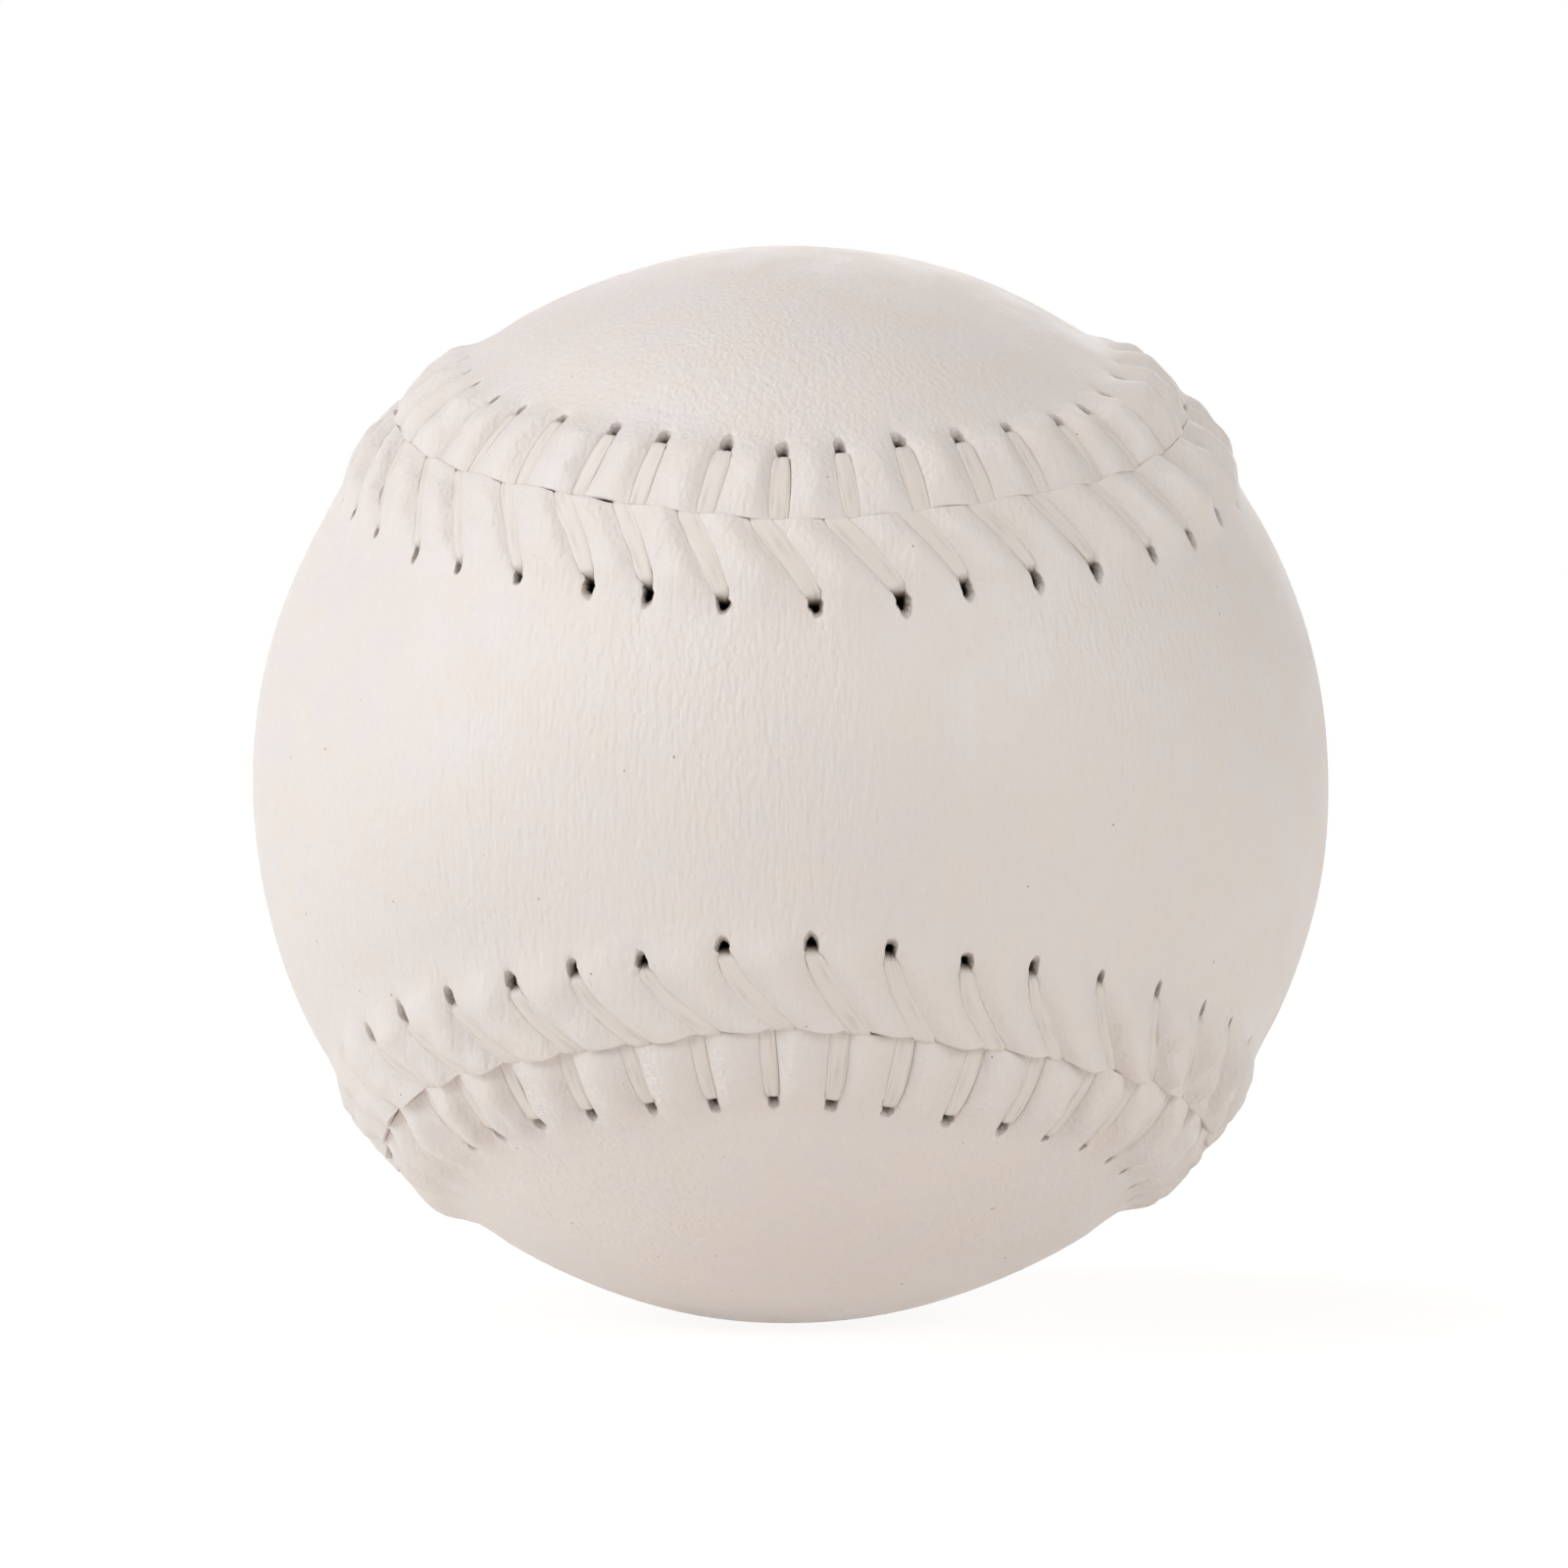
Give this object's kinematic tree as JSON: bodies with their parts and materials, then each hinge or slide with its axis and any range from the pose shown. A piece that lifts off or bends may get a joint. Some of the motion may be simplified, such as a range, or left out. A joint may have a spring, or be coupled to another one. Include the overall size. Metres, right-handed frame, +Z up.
{
  "type": "softball",
  "caption": "Leather-covered softball: a cork core wound with yarn and coated with cement, inside two figure-eight panels sewn together with waxed thread.",
  "frame": {"origin": "centre of the ball", "axes": "+Z up; -Y points out of the waist of the front panel, whose lobes reach round to +X and -X; the rear panel's waist faces +Y and its lobes reach up and down"},
  "size_m": [0.0964, 0.0964, 0.0964],
  "materials": {
    "cork": "matte pressed cork and rubber granules",
    "yarn": "tightly wound grey-white twisted yarn",
    "cement": "thin satin skin of dried latex cement",
    "leather": "warm off-white leather, fine grain, low sheen",
    "thread": "white waxed thread pulled flat"
  },
  "bodies": {
    "root": {"cork_center": "cork", "yarn_winding": "yarn", "cement_coat": "cement", "front_cover_panel": "leather", "rear_cover_panel": "leather", "thread_one": "thread", "thread_two": "thread"}
  },
  "joints": []
}
